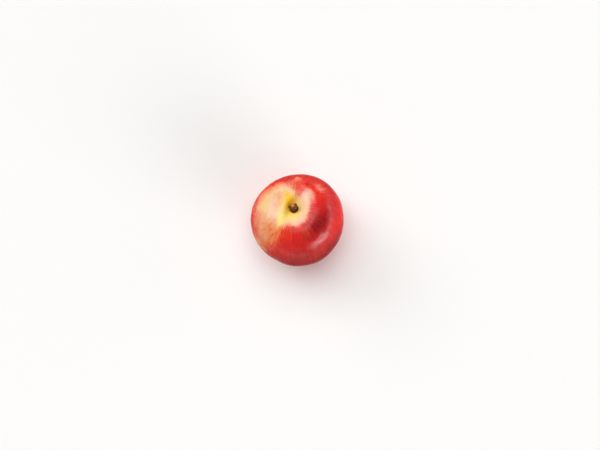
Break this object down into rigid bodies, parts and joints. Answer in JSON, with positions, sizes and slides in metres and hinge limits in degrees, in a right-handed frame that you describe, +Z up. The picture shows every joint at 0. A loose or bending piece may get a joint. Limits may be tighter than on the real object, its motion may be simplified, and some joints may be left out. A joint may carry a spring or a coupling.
{
  "type": "nectarine",
  "caption": "Whole ripe nectarine with a suture groove, a deep stem cavity holding a woody stalk remnant, and a small flat spot it rests on.",
  "frame": {"origin": "on the floor, under the middle of the fruit's bounding box, with the fruit resting on its flat spot", "axes": "+Z up from the floor; +X along the widest direction; the stem axis leans 23 degrees from +Z towards +Y, slightly to -X; the suture runs down on the -X, -Y side"},
  "size_m": [0.0662, 0.0656, 0.0603],
  "materials": {
    "skin": "smooth, softly shining skin, cream-yellow round the stem and on one cheek, red and streaked elsewhere",
    "stalk": "dry, fibrous, matt brown"
  },
  "bodies": {
    "root": {"fruit": "skin", "stem_stub": "stalk"}
  },
  "joints": []
}
